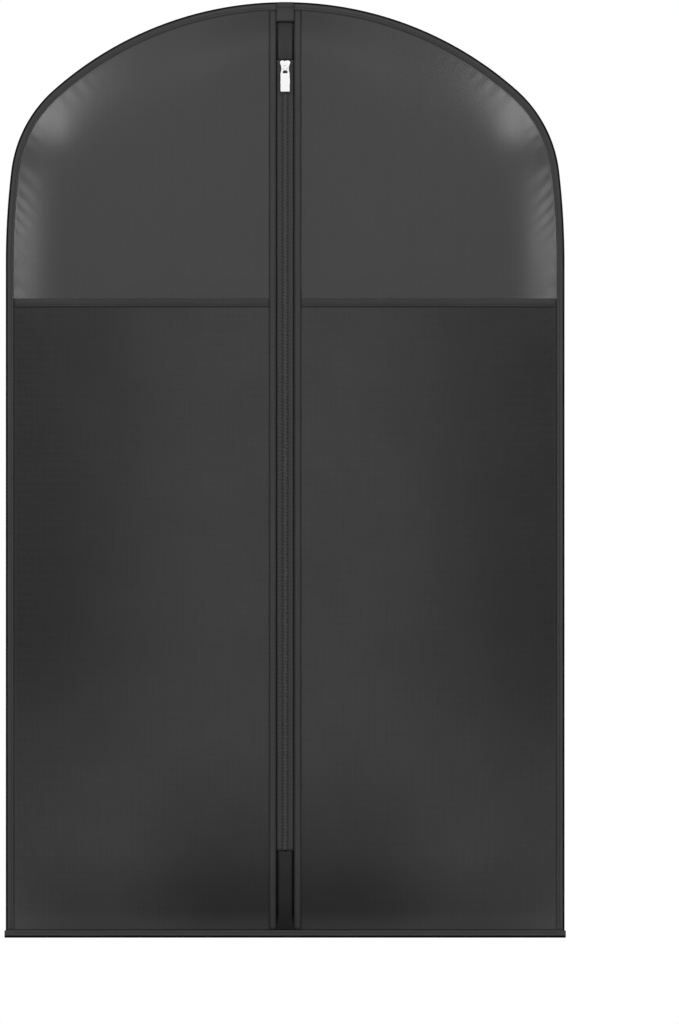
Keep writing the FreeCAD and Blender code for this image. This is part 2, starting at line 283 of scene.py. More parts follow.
def woven_cloth(name, light, roughness, step=0.0011, streak=0.5, painted_light_and_shade=None, gloss=0.2, dark=(0, 0, 0)):
    """Black spunbond cloth pressed with a crossed-thread face, some of its threads heavier than others.
    A recipe passed in gives how much of the light tone is kept at each place, and so paints shade and light
    into the colour."""
    cloth = Recipe(name)
    warp = cloth.ribs("X", step)
    weft = cloth.ribs("Y", step * 1.15)
    threads = cloth.maths("MAXIMUM", warp, weft)
    down = cloth.noise(620, 22, 3)
    over = cloth.noise(22, 540, 3)
    streaks = cloth.maths("ADD", cloth.maths("MULTIPLY", down, 0.6), cloth.maths("MULTIPLY", over, 0.4))
    cloudy = cloth.noise(11, 11, 4)
    tone = cloth.maths(
        "ADD",
        cloth.maths("MULTIPLY", cloth.spread(streaks, 0.35, 0.65, 0, 1), streak),
        cloth.maths("MULTIPLY", cloudy, 1 - streak),
    )
    tone = cloth.maths("MULTIPLY_ADD", threads, 0.12, cloth.maths("MULTIPLY", tone, 0.88))
    colour = tone
    # Painted shade and painted light from the recipe multiply the colour here.
    if painted_light_and_shade:
        kept = painted_light_and_shade(cloth)
        colour = cloth.maths("MULTIPLY", cloth.maths("MULTIPLY_ADD", tone, 0.30, 0.70), kept)
    cloth.shade(colour, dark, light)
    relief = cloth.maths("ADD", threads, cloth.maths("MULTIPLY", streaks, 0.9))
    cloth.bump(relief, 0.00012, 0.6)
    rough = cloth.spread(tone, 0.2, 0.8, roughness + 0.05, roughness - 0.05)
    return cloth.set(Roughness=rough, Specular_IOR_Level=gloss)


PANEL_CLOTH = woven_cloth("panel_cloth", (0.040, 0.040, 0.0405), 0.5, streak=0.35, dark=(0.031, 0.031, 0.0315))


def mouth_lip(x):
    """How far each lip of the hanger mouth stands off the seam plane at the top edge."""
    return MOUTH_LIP * np.sqrt(np.clip(1 - (x / 0.01) ** 2, 0, 1))


def back_y(x, z):
    full = billow(x, z, RIM)
    folds = BACK_FOLD * soft_folds(x, z, 5, 0.16) * full
    sheet = CLOTH + (BACK_FULLNESS - CLOTH) * full + folds
    lip = mouth_lip(x) * eased((z + 0.050) / 0.030)
    return (sheet**4 + lip**4) ** 0.25


def spaced_rows(count, dense):
    """Positions from 0 to 1 down a sheet, closer together towards both ends."""
    t = np.linspace(0, 1, count)
    return t - dense * np.sin(2 * math.pi * t) / (2 * math.pi)


SHEET_INSET = 0.0008
edge, away = outline(0.004)
edge = edge - away * SHEET_INSET
back_x = np.concatenate([-edge[:0:-1, 0], edge[:, 0]])
back_top = np.concatenate([edge[:0:-1, 1], edge[:, 1]])
keep = np.concatenate([[True], np.diff(back_x) > 1e-6])
back_sheet = sheet_mesh(
    "back_sheet", back_x[keep], back_top[keep], SHEET_INSET - HEIGHT, spaced_rows(250, 0.6), back_y, 1
)
thicken(back_sheet, CLOTH)
back_sheet.data.materials.append(PANEL_CLOTH)
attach(back_sheet, "back_shell")
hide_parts("back_panel")


# Front seam margin. The narrow edge of the front that stays sewn in between the bindings when the
# front opens. It is the same cloth as the panels and shows only as a thickness in the seam.


def run_of(line):
    """Length along a line, at each of its points."""
    return np.concatenate([[0], np.cumsum(np.linalg.norm(np.diff(line, axis=0), axis=1))])


def tube_faces(rings, count, base=0):
    """The faces of a closed tube, ring by ring, and of its two ends. base is its first vertex."""
    faces = []
    for start in range(base, base + (rings - 1) * count, count):
        for m in range(count):
            n = (m + 1) % count
            faces.append((start + m, start + n, start + count + n, start + count + m))
    last = base + rings * count - 1
    return faces + [tuple(range(base, base + count)), tuple(range(last, last - count, -1))]


def swept(name, runs, loops, place):
    """A closed cross-section carried along a line. loops holds the section's points at each length in runs,
    and place turns the number of a loop and the two measures of a point into 3-D."""
    vertices, flat = [], []
    for k, (run, loop) in enumerate(zip(runs, loops)):
        round_it = 0.0
        for m, point in enumerate(loop):
            if m:
                round_it += math.dist(point, loop[m - 1])
            vertices.append(place(k, *point))
            flat.append((round_it, run))
    piece = cloth_object(name, vertices, tube_faces(len(loops), len(loops[0])), flat)
    face_out(piece)
    return piece


def edging(name, line, outward, loops):
    """A strip sewn along an edge. Its loops are (inset, y), insets being measured against outward."""

    def place(k, inset, y):
        x, z = line[k] - outward[k] * inset
        return x, y, z

    return swept(name, run_of(line), loops, place)


def face_out(piece, weld=0.0):
    """Turns every face of a closed piece to look outward. Corners closer than weld are made one."""
    work = bmesh.new()
    work.from_mesh(piece.data)
    if weld:
        bmesh.ops.remove_doubles(work, verts=work.verts, dist=weld)
    bmesh.ops.recalc_face_normals(work, faces=work.faces)
    work.to_mesh(piece.data)
    work.free()


def mirrored(points, outward):
    flip = np.array((-1.0, 1.0))
    return points[::-1] * flip, outward[::-1] * flip


def margin_section(near, far):
    """The margin between two insets. It lies against the back sheet, with a hair's gap."""
    return [(near, -CLOTH), (far, -CLOTH), (far, -0.00004), (near, -0.00004)]


def joined(pieces, name):
    """One object of several meshes that are sewn together and share a material."""
    with bpy.context.temp_override(
        active_object=pieces[0], object=pieces[0], selected_objects=pieces, selected_editable_objects=pieces
    ):
        bpy.ops.object.join()
    pieces[0].name = name
    return pieces[0]


margin_line, margin_out = outline(0.008, start=MOUTH_HALF)
foot_x = np.linspace(HALF_WIDTH - CLOTH, CLOTH - HALF_WIDTH, 60)
foot_line = np.stack([foot_x, np.full(60, CLOTH - HEIGHT)], -1)
margins = []
for line, out, near, far in (
    (margin_line, margin_out, 0.0007, 0.0079),
    (*mirrored(margin_line, margin_out), 0.0007, 0.0079),
    (foot_line, np.tile((0.0, -1.0), (60, 1)), 0.0002, 0.0072),
):
    margins.append(edging("front_seam_margin_cloth", line, out, [margin_section(near, far)] * len(line)))
front_margin = joined(margins, "front_seam_margin_cloth")
front_margin.data.materials.append(PANEL_CLOTH)
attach(front_margin, "back_shell")
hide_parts("front_seam_margin")


# Edge bindings. A strip of black twill-faced cloth folded over the raw edges and run round each side
# and shoulder to the hanger mouth, stitched through all layers near its inner fold.


def folded_section(face, pocket):
    """A strip folded over raw edges, as (inset, y) in millimetres: its front face from the inner edge to the
    fold, its rear face back again, and the pocket that the raw edges fill."""
    return face + [(0.0, 0.0)] + [(inset, -y) for inset, y in reversed(face)] + pocket


BINDING_SECTION = folded_section(
    [
        (8.10, -0.64), (8.22, -0.78), (8.06, -0.94), (7.50, -1.08), (6.65, -1.16), (6.15, -1.10), (5.90, -1.05),
        (5.65, -1.10), (5.20, -1.20), (3.80, -1.24), (2.20, -1.22), (1.10, -1.10), (0.40, -0.80), (0.08, -0.40),
    ],
    [(4.0, 0.63), (0.65, 0.62), (0.62, 0.0), (0.65, -0.62), (4.0, -0.63)],
)
POCKET_HALF = 0.635


def wandering(run, seed, size):
    """A slow, seeded waver along a seam, between about -1 and 1."""
    dice = random.Random(seed)
    waver = np.zeros_like(run)
    for k in range(6):
        waver += np.sin(2 * math.pi * run / (size * (0.45 + 0.35 * k)) + dice.uniform(0, 6.28))
    return waver / 3.2


def bound_loops(line, section, seed):
    """The section at each point of the line, in metres, wavering as sewn binding does."""
    run = run_of(line)
    breadth, puff = wandering(run, seed, 0.06), wandering(run, seed + 1, 0.035)
    loops = []
    for wide, full in zip(breadth, puff):
        loop = []
        for inset, y in section:
            outer = 0.0 if abs(y) < POCKET_HALF else 1.0
            inset = inset + 0.10 * wide * outer * (inset > 7)
            y = y + math.copysign(0.035 * full * outer, y) * (1 < inset < 8)
            loop.append((inset / 1000, y / 1000))
        loops.append(loop)
    return loops


def to_fold(section):
    """Length round a section from its first point to its outer fold, in metres."""
    fold = section.index((0.0, 0.0))
    steps = zip(section[:fold], section[1 : fold + 1])
    return sum(math.dist(a, b) for a, b in steps) / 1000


def painted_fold_shade(section, dark_to, clear_from):
    """Painted shade: the outer fold, where the binding turns away at the bag's edge, is painted the blackest
    part of a binding.
    """

    def kept(cloth):
        from_fold = cloth.maths("ABSOLUTE", cloth.maths("SUBTRACT", cloth.part("X"), to_fold(section)))
        return cloth.maths("MULTIPLY_ADD", cloth.rising(from_fold, dark_to, clear_from), 0.94, 0.06)

    return kept


# Painted shade along the binding's outer fold, at the edge of the bag.
binding_fold_shade = painted_fold_shade(BINDING_SECTION, 0.0022, 0.0030)
BINDING_CLOTH = woven_cloth("binding_cloth", (0.053, 0.053, 0.054), 0.7, 0.0007, 0.35, binding_fold_shade, gloss=0.05)
SIDES = (("left", -1), ("right", 1))

binding_line, binding_out = outline(0.003, start=MOUTH_HALF)
for name, side in SIDES:
    line, out = (binding_line, binding_out) if side > 0 else mirrored(binding_line, binding_out)
    binding = edging("edge_binding_cloth_" + name, line, out, bound_loops(line, BINDING_SECTION, 20 + side))
    binding.data.materials.append(BINDING_CLOTH)
    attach(binding, "back_shell")
    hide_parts("edge_binding_" + name)


# Stitching round the edge. Lockstitch of black polyester thread, one stitch every 3.2 mm, which
# shows the same on the front and the back of the binding.


def stitched(name, lines, pitch=0.0032, thread=0.00027, reach=0.42):
    """Rows of stitches, each a short thread that dives in at both ends. A line is (points, normals) in 3-D.
    reach is half a stitch's length as a share of the pitch."""
    vertices, faces, flat = [], [], []
    shape = [(-1, 0.35, -1.0), (-0.79, 0.85, -0.35), (0, 1.0, 0.1), (0.79, 0.85, -0.35), (1, 0.35, -1.0)]
    stations = [(reach * s, thick, lift) for s, thick, lift in shape]
    around = 6
    for points, normals in lines:
        run = run_of(points)
        count = int(run[-1] / pitch)

        def at(distance, table):
            return np.array([np.interp(distance, run, table[:, axis]) for axis in range(3)])

        for k in range(count):
            middle = (k + 0.5) * run[-1] / count
            place = at(middle, points)
            along = at(middle + pitch / 4, points) - at(middle - pitch / 4, points)
            along /= max(np.linalg.norm(along), 1e-9)
            across = np.cross(along, at(middle, normals))
            across /= np.linalg.norm(across)
            normal = np.cross(across, along)
            base = len(vertices)
            for s, thick, lift in stations:
                for m in range(around):
                    turn = 2 * math.pi * m / around
                    ring = math.cos(turn) * across + math.sin(turn) * normal
                    vertices.append(place + along * s * pitch + thread * (thick * ring + lift * normal))
                    flat.append((s * pitch + middle, m * 0.0002))
            faces += tube_faces(len(stations), around, base)
    piece = cloth_object(name, vertices, faces, flat)
    face_out(piece)
    piece.data.materials.append(THREAD)
    return piece


thread = Recipe("thread")
twist = thread.ribs("DIAGONAL", 0.0004)
thread.shade(twist, (0.005, 0.005, 0.005), (0.014, 0.014, 0.0145))
thread.bump(twist, 0.00006)
THREAD = thread.set(Roughness=0.55, Specular_IOR_Level=0.2)


def seam_line(points, outward, inset, y):
    """A line of stitching on a face at depth y, and its direction out of that face."""
    place = points - outward * inset
    line = np.stack([place[:, 0], np.full(len(place), y), place[:, 1]], -1)
    return line, np.tile((0.0, math.copysign(1, y), 0.0), (len(line), 1))


edge_lines = [
    seam_line(line[:-2], out[:-2], 0.0059, face)
    for line, out in ((binding_line, binding_out), mirrored(binding_line, binding_out))
    for face in (-0.00118, 0.00118)
]
edge_stitches = stitched("edge_stitches", edge_lines)
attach(edge_stitches, "back_shell")
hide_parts("edge_stitching")


# Hem binding. The same cloth, doubled, closes the foot from side to side and wraps a little past
# each corner, with one line of stitching.

HEM_FACE = [
    (8.00, -1.25), (7.96, -1.62), (7.55, -1.80), (6.20, -1.80), (5.75, -1.72), (5.50, -1.66),
    (5.25, -1.72), (4.80, -1.80), (2.40, -1.82), (1.20, -1.74), (0.45, -1.35), (0.08, -0.70),
]
HEM_SECTION = folded_section(
    HEM_FACE, [(7.90, 0.66), (4.0, 0.64), (0.66, 0.62), (0.64, 0.0), (0.66, -0.62), (4.0, -0.64), (7.90, -0.66)]
)
WRAP_FROM = 0.3042
wrapped_x = [0.3036, WRAP_FROM, 0.3046, 0.3048]
hem_x = np.concatenate([[-x for x in reversed(wrapped_x)], np.linspace(-0.3035, 0.3035, 300), wrapped_x])
hem_line = np.stack([hem_x, np.full(len(hem_x), -HEIGHT)], -1)
hem_loops = bound_loops(hem_line, HEM_SECTION, 31)
for k, x in enumerate(hem_x):
    past = np.clip((abs(x) - WRAP_FROM) / 0.0006, 0, 1)
    for m, (inset, y) in enumerate(hem_loops[k]):
        in_pocket = m > 2 * len(HEM_FACE)
        if in_pocket and abs(x) > 0.30355:
            inset, y = 0.0078, y * 0.98
        squeeze = 1 - 0.22 * past
        hem_loops[k][m] = (inset + (0.004 - inset) * 0.06 * past, y * squeeze)
hem = edging("hem_binding_cloth", hem_line, np.tile((0.0, -1.0), (len(hem_x), 1)), hem_loops)
# Painted shade along the hem's outer fold, at the foot of the bag.
hem_fold_shade = painted_fold_shade(HEM_SECTION, 0.0030, 0.0040)
HEM_CLOTH = woven_cloth("hem_cloth", (0.053, 0.053, 0.054), 0.7, 0.0007, 0.35, hem_fold_shade, gloss=0.05)
hem.data.materials.append(HEM_CLOTH)
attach(hem, "back_shell")
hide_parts("hem_binding")

foot_line = np.stack([np.linspace(-0.2952, 0.2952, 120), np.full(120, -HEIGHT)], -1)
downward = np.tile((0.0, -1.0), (120, 1))
hem_lines = [seam_line(foot_line, downward, 0.0055, face) for face in (-0.00178, 0.00178)]
hem_stitches = stitched("hem_stitches", hem_lines)
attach(hem_stitches, "back_shell")
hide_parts("hem_stitching")


# Hanger mouth. A strip of the binding cloth lines each lip of the opening that the hanger's hook
# comes through. The front one runs down over the zip's upper end and is stitched across its foot.

FRONT_RIM = 0.0086
FRONT_DEPTH = 0.024
FRONT_FOLD = 0.0009
PUCKER = 0.00014
LIP_FOOT = -0.0223
LIP_ROWS = (-0.0059, -0.0208)


def puckers(x, z, start):
    """Short ripples that a seam's stitches pull into the sheet beside it, as a height between -1 and 1."""
    from_seam = seam_inset(x, z) - start
    along = z - np.abs(x)
    ripple = np.sin(2 * math.pi * along / 0.0185 + 1.7 * np.sin(2 * math.pi * along / 0.13))
    side = ripple * np.exp(-np.clip(from_seam, 0, 1) / 0.013) * eased(from_seam / 0.004)
    from_hem = z + HEIGHT - HEM - (start - RIM)
    ripple = np.sin(2 * math.pi * x / 0.021 + 1.5 * np.sin(2 * math.pi * x / 0.17))
    foot = ripple * np.exp(-np.clip(from_hem, 0, 1) / 0.012) * eased(from_hem / 0.004)
    return side + foot


def front_y(x, z):
    """The good face of the front sheets. The line of the zip stays straight."""
    full = billow(x, z, FRONT_RIM)
    off_zip = eased((np.abs(x) - 0.020) / 0.050)
    soft = FRONT_FOLD * soft_folds(x, z, 12, 0.20) * full * off_zip
    pulled = PUCKER * puckers(x, z, FRONT_RIM) * off_zip
    return -(CLOTH + (FRONT_DEPTH - CLOTH) * full + soft + pulled)


def front_lip_y(x, z):
    sheet = -front_y(x, z)
    lip = mouth_lip(x) * eased((z + 0.045) / 0.030)
    return -((sheet**4 + lip**4) ** 0.25)


def crown_z(x, inset=0.0):
    """Height of the crown's edge at x."""
    return CROWN_CENTRE[1] + np.sqrt((CROWN_RADIUS - inset) ** 2 - np.asarray(x, float) ** 2)


lip_edge = [0.0088, 0.0092, MOUTH_HALF]
mouth_x = np.concatenate([[-x for x in reversed(lip_edge)], np.linspace(-0.0082, 0.0082, 21), lip_edge])
lip_depths = np.concatenate([np.linspace(0, 0.9, 24, endpoint=False), np.linspace(0.9, 1, 6)])


def front_lip_face(x, z):
    """Rolled over a little at the top edge, and turned under at the foot."""
    roll = 0.0005 * np.clip(1 - (crown_z(x) - z) / 0.0012, 0, 1) ** 2
    under = 0.0005 * np.clip(1 - (z - LIP_FOOT) / 0.0012, 0, 1) ** 2
    groove = sum(0.00010 * np.exp(-(((z - row) / 0.0005) ** 2)) for row in LIP_ROWS)
    return front_lip_y(x, z) - 0.00025 + roll + under + groove


def back_lip_face(x, z):
    return back_y(x, z) - CLOTH - 0.00004


front_lip = sheet_mesh("mouth_lip_front", mouth_x, crown_z(mouth_x), LIP_FOOT, lip_depths, front_lip_face, -1)
thicken(front_lip, CLOTH)
back_lip = sheet_mesh("mouth_lip_back", mouth_x, crown_z(mouth_x), -0.0165, lip_depths, back_lip_face, 1)
thicken(back_lip, CLOTH)


def painted_lip_shade(cloth):
    """Painted shade: darker where it folds over the crown and along its turned-under foot."""
    up = cloth.part("Y")
    foot = cloth.rising(up, -0.0226, -0.0185)
    top = cloth.falling(up, -0.0016, -0.0006)
    return cloth.maths("MULTIPLY_ADD", cloth.maths("MULTIPLY", foot, top), 0.94, 0.06)


MOUTH_CLOTH = woven_cloth("mouth_cloth", (0.047, 0.047, 0.048), 0.7, 0.0007, 0.35, painted_lip_shade, gloss=0.05)
for lip, node in ((front_lip, "mouth_facing_front"), (back_lip, "mouth_facing_back")):
    lip.data.materials.append(MOUTH_CLOTH)
    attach(lip, "back_shell")
    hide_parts(node)

across_lip = np.linspace(-0.0088, 0.0088, 30)
lip_rows = []
for row in LIP_ROWS:
    height = np.full(30, row)
    y = front_lip_face(across_lip, height) - 0.00002
    lip_rows.append((np.stack([across_lip, y, height], -1), np.tile((0.0, -1.0, 0.1), (30, 1))))
lip_stitches = stitched("mouth_stitches", lip_rows)
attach(lip_stitches, "back_shell")


# Zip tabs. A soft patch of the panel cloth closes the front above and below the zip. Its sides lie
# behind the facings, so its middle swells between them; the lower one is sewn in at the hem.


def tab_y(x, z):
    """Sunk beside the facings and swollen in the middle, behind the front sheets' face."""
    beside = np.exp(-(((np.abs(x) - 0.0104) / 0.0024) ** 2))
    swell = np.clip(1 - (np.abs(x) / 0.0085) ** 2, 0, 1)
    small = 0.00010 * np.sin(z * 2 * math.pi / 0.019 + 2 * np.sin(z * 50)) * swell
    full = eased((seam_inset(x, z) - 0.012) / 0.02) * eased((z + 1.006) / 0.02)
    return np.minimum(front_y(x, z) + 0.0007 - 0.0004 * swell - small + 0.0034 * beside * full, -CLOTH)


UPPER_TAB_FOOT = -0.0628
LOWER_TAB_TOP = -0.9216


def tab_upper_y(x, z):
    end = np.clip((z - UPPER_TAB_FOOT) / 0.0015, 0, 1)
    below_lip = 0.0012 * np.exp(-(((z + 0.0232) / 0.0016) ** 2))
    return tab_y(x, z) + 0.0004 * (1 - end) ** 2 + below_lip


def tab_lower_y(x, z):
    end = np.clip(1 - (LOWER_TAB_TOP - z) / 0.0015, 0, 1)
    return tab_y(x, z) + 0.0004 * end**2


def painted_tab_shade(cloth):
    """Painted shade: the lower tab is darker than the upper one, and darkest where it is caught in the hem."""
    up = cloth.part("Y")
    kept = cloth.maths("MULTIPLY_ADD", cloth.rising(up, -1.010, -0.965), 0.34, 0.22)
    return cloth.maths("MULTIPLY_ADD", cloth.rising(up, -0.5, -0.1), 0.36, kept)


TAB_CLOTH = woven_cloth("tab_cloth", (0.0275, 0.0275, 0.028), 0.5, 0.0009, 0.4, painted_tab_shade)
tab_x = np.linspace(-0.016, 0.016, 33)
upper = sheet_mesh("zip_tab_upper", tab_x, -0.0158, UPPER_TAB_FOOT, spaced_rows(40, 0.4), tab_upper_y, -1)
lower = sheet_mesh("zip_tab_lower", tab_x, LOWER_TAB_TOP, -1.0075, spaced_rows(60, 0.5), tab_lower_y, -1)
for tab, node, length, caught_by in (
    (upper, "zip_tab_top", 0.049, "mouth_lip_front"),
    (lower, "zip_tab_bottom", 0.090, "hem_binding_cloth"),
):
    thicken(tab, CLOTH)
    tab.data.materials.append(TAB_CLOTH)
    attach(tab, "back_shell")
    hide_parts(node)


# Lower panels. The black cloth of each front, from the foot of the window to the hem. For every piece on a
# front a share of opening is worked out, largest half way down and away from the side seam and none at its two
# ends, but it is not applied.


FREE_BELOW = -0.066
FREE_ABOVE = -0.905


def opens(piece, side):
    """Bakes a piece's transform and works out how much each point would open, from nothing at the side seam and
    at both ends, but moves nothing. side, -1 for the left front or +1 for the right, is not used.
    """
    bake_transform(piece)
    place = np.empty(len(piece.data.vertices) * 3, np.float32)
    piece.data.vertices.foreach_get("co", place)
    x, z = place[0::3].astype(float), place[2::3].astype(float)
    freed = eased((FREE_BELOW - z) / 0.34) * eased((z - FREE_ABOVE) / 0.30)
    share = freed * eased((seam_inset(x, z) - FRONT_RIM) / 0.10)


PANEL_INNER = 0.012
TUCK = 0.0080
BAND_MIDDLE = -0.32665


def across_front(side, count):
    """Columns from the facing to the side seam, closer together at the seam."""
    t = np.linspace(0, 1, count)
    t = t + 0.35 * np.sin(math.pi * t) / math.pi * (1 - t)
    x = PANEL_INNER + (HALF_WIDTH - TUCK - PANEL_INNER) * t
    return x if side > 0 else -x[::-1]


def painted_slope_shade_and_light(cloth):
    """Painted shade down each side and low in the middle, where the front turns away from the light, and
    painted light beside the binding and above the hem."""
    out = cloth.maths("ABSOLUTE", cloth.part("X"))
    up = cloth.part("Y")
    beside = cloth.maths("MULTIPLY", cloth.rising(out, 0.06, 0.29), cloth.rising(up, -0.92, -0.66))
    low = cloth.maths("MULTIPLY", cloth.falling(out, 0.06, 0.21), cloth.falling(up, -0.97, -0.80))
    kept = cloth.maths("MULTIPLY_ADD", beside, -0.54, 1.0)
    kept = cloth.maths("MULTIPLY_ADD", low, -0.50, kept)
    # Painted light beside the binding and above the hem.
    painted_edge_light = cloth.maths("MAXIMUM", cloth.rising(out, 0.291, 0.2945), cloth.falling(up, -1.006, -0.984))
    return cloth.maths("MULTIPLY_ADD", painted_edge_light, 0.40, kept)


FRONT_CLOTH = woven_cloth("front_cloth", (0.039, 0.039, 0.0395), 0.5, streak=0.3, painted_light_and_shade=painted_slope_shade_and_light)

for name, side in SIDES:
    panel_x, panel_rows = across_front(side, 86), spaced_rows(180, 0.45)
    panel_foot = HEM - HEIGHT - 0.0004
    panel = sheet_mesh("lower_panel_" + name, panel_x, BAND_MIDDLE, panel_foot, panel_rows, front_y, -1)
    opens(panel, side)
    thicken(panel, CLOTH)
    panel.data.materials.append(FRONT_CLOTH)
    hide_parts("panel_" + name)


# Windows. Clear smoke-grey vinyl film over the shoulders, through which the clothes inside are seen.
# It is supple and glossy, puckers a little beside its seams, and is sewn under binding and facings.

film = Recipe("window_film")
haze = film.noise(7, 5, 3)
film.shade(haze, (0.047, 0.047, 0.0475), (0.053, 0.053, 0.0535))
scuffs = film.noise(60, 14, 3)
WINDOW_FILM = film.set(
    Roughness=film.spread(scuffs, 0.3, 0.7, 0.25, 0.28), Specular_IOR_Level=0.5, IOR=1.5, Alpha=0.5
)

FILM = 0.0003
rim_line, rim_out = outline(0.004, start=PANEL_INNER, foot=BAND_MIDDLE - 0.01)
rim_line = rim_line - rim_out * TUCK
rim_line = rim_line[(rim_line[:, 1] > SIDE_CENTRE[1] + 1e-6) & (rim_line[:, 0] > PANEL_INNER + 0.001)]
rim_x = np.concatenate([[PANEL_INNER], rim_line[:, 0], [HALF_WIDTH - TUCK]])
rim_z = np.concatenate([[crown_z(PANEL_INNER, TUCK)], rim_line[:, 1], [SIDE_CENTRE[1]]])
for name, side in SIDES:
    xs, tops = (rim_x, rim_z) if side > 0 else (-rim_x[::-1], rim_z[::-1])
    window = sheet_mesh("window_film_" + name, xs, tops, BAND_MIDDLE, spaced_rows(86, 0.3), front_y, -1)
    opens(window, side)
    thicken(window, FILM)
    window.data.materials.append(WINDOW_FILM)
    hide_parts("window_" + name)


# Bands over the feet of the windows. A folded strip of the panel cloth covers the seam where film
# meets cloth, and is stitched along its lower edge.

FACING_INNER = 0.0097
FACING_OUTER = 0.0175
BAND_SECTION = [
    (0.00, 0.05), (0.00, 0.55), (0.30, 0.86), (1.40, 0.92), (1.90, 0.78), (2.20, 0.72),
    (2.50, 0.78), (3.00, 0.90), (4.60, 0.96), (7.20, 0.92), (7.60, 0.82), (7.90, 0.92),
    (8.70, 0.88), (9.10, 0.75), (9.30, 0.45), (9.30, 0.05),
]


def closed_strip(name, stations, section, place):
    """A folded strip: its section at each station. place gives the 3-D point of (station, across, lift)."""
    loop = [(over / 1000, lift / 1000) for over, lift in section]
    return swept(name, stations, [loop] * len(stations), lambda k, over, lift: place(stations[k], over, lift))


def to_front(line):
    """The way out of the front for each point of a line of stitching, with the line."""
    return line, np.tile((0.0, -1.0, 0.0), (len(line), 1))


def on_front(x, z, lift):
    return (x, float(front_y(np.float64(x), np.float64(z))) - lift, z)


BAND_FOOT = -0.3313


# Painted shadow along the band's lower folded edge.
def painted_band_foot_shade(cloth):
    return cloth.maths("MULTIPLY_ADD", cloth.rising(cloth.part("X"), 0.0009, 0.0016), 0.7, 0.3)


BAND_CLOTH = woven_cloth("band_cloth", (0.032, 0.032, 0.0325), 0.55, 0.0008, 0.5, painted_band_foot_shade)
for name, side in SIDES:
    band = closed_strip(
        "window_band_cloth_" + name,
        np.linspace(FACING_OUTER + 0.00005, HALF_WIDTH - FRONT_RIM, 120),
        BAND_SECTION,
        lambda x, over, lift: on_front(side * x, BAND_FOOT + over, lift),
    )
    opens(band, side)
    band.data.materials.append(BAND_CLOTH)
    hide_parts("window_band_" + name)
    seam_x = side * np.linspace(0.0182, 0.2935, 120)
    seam = np.array([on_front(x, BAND_FOOT + 0.0022, 0.00078) for x in seam_x])
    band_stitches = stitched("band_stitches_" + name, [to_front(seam)])
    opens(band_stitches, side)
    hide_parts("band_stitching_" + name)


# Zip facings. A folded strip of cloth runs down each side of the zip from the binding to the hem,
# and holds the tape behind and the front sheets in between with a row of stitches along each edge.

FACING_SECTION = [
    (0.00, 0.05), (0.00, 0.50), (0.22, 0.82), (0.70, 0.90), (1.10, 0.78), (1.40, 0.70), (1.70, 0.78),
    (2.15, 0.90), (3.90, 0.97), (5.65, 0.90), (6.10, 0.78), (6.40, 0.70), (6.70, 0.78), (7.10, 0.90),
    (7.58, 0.82), (7.80, 0.50), (7.80, 0.05),
]
facing_top = np.linspace(0, 0.10, 40, endpoint=False)
facing_middle = np.linspace(0.10, 0.90, 200, endpoint=False)
facing_shares = np.concatenate([facing_top, facing_middle, np.linspace(0.90, 1, 40)])


def painted_facing_edge_shade(cloth):
    """Both long edges are folds, pressed flat; painted shade makes them darker than the strip between them."""
    near = cloth.rising(cloth.part("X"), 0.0010, 0.0017)
    far = cloth.falling(cloth.part("X"), 0.0072, 0.0082)
    return cloth.maths("MULTIPLY_ADD", cloth.maths("MULTIPLY", near, far), 0.76, 0.24)


FACING_CLOTH = woven_cloth("facing_cloth", (0.0385, 0.0385, 0.0395), 0.55, 0.0008, 0.5, painted_facing_edge_shade)
for name, side in SIDES:

    def facing_point(t, over, lift):
        x = FACING_INNER + over
        top = float(crown_z(x, FRONT_RIM))
        waver = 0.00012 * math.sin(t * 61 + side) + 0.00006 * math.sin(t * 173)
        edge = 1 if over < 0.0004 or over > 0.0074 else 0.2
        return on_front(side * (x + waver * edge), top + (HEM - HEIGHT + 0.0016 - top) * t, lift)

    facing = closed_strip("zip_facing_cloth_" + name, facing_shares, FACING_SECTION, facing_point)
    opens(facing, side)
    facing.data.materials.append(FACING_CLOTH)
    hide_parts("zip_facing_" + name)
    rows = []
    for x in (0.0111, 0.0161):
        heights = np.linspace(-0.0095, -1.0070, 400)
        rows.append(to_front(np.array([on_front(side * x, z, 0.00074) for z in heights])))
    facing_stitches = stitched("facing_stitches_" + name, rows)
    opens(facing_stitches, side)
    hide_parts("facing_stitching_" + name)


# Zip tapes. Narrow black polyester tape in a herringbone weave, sewn in behind each facing, with a
# thicker cord along the edge that carries the coil.

tape = Recipe("zip_tape")
herring = tape.maths("PINGPONG", tape.part("X"), 0.0012)
slanted = tape.maths("ADD", tape.part("Y"), herring)
tape.place = tape.node("ShaderNodeCombineXYZ", {"X": 0.0, "Y": slanted, "Z": 0.0}).outputs["Vector"]
chevrons = tape.ribs("Y", 0.0008)
tape.shade(chevrons, (0.010, 0.010, 0.0105), (0.0175, 0.0175, 0.018))
tape.bump(chevrons, 0.00010, 0.8)
ZIP_TAPE = tape.set(Roughness=0.58, Sheen_Weight=0.08)

TAPE_TOP = -0.0632
TAPE_FOOT = -0.9212


def tape_y(x, z):
    beside = 0.0016 * np.exp(-(((np.abs(x) - 0.0106) / 0.0018) ** 2))
    return front_y(x, z) + 0.0006 + beside


for name, side in SIDES:
    tape_x = np.linspace(0.0015, 0.016, 25) * side
    tape_x = tape_x if side > 0 else tape_x[::-1]
    tape_rows = np.linspace(0, 1, 220)
    zip_tape = sheet_mesh("zip_tape_cloth_" + name, tape_x, TAPE_TOP, TAPE_FOOT, tape_rows, tape_y, -1)
    opens(zip_tape, side)
    thicken(zip_tape, CLOTH)
    zip_tape.data.materials.append(ZIP_TAPE)
    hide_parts("zip_tape_" + name)


# Coil. One continuous nylon filament a side, wound flat and sewn to its tape. The loops of the two
# sides reach past the middle and lock between each other.

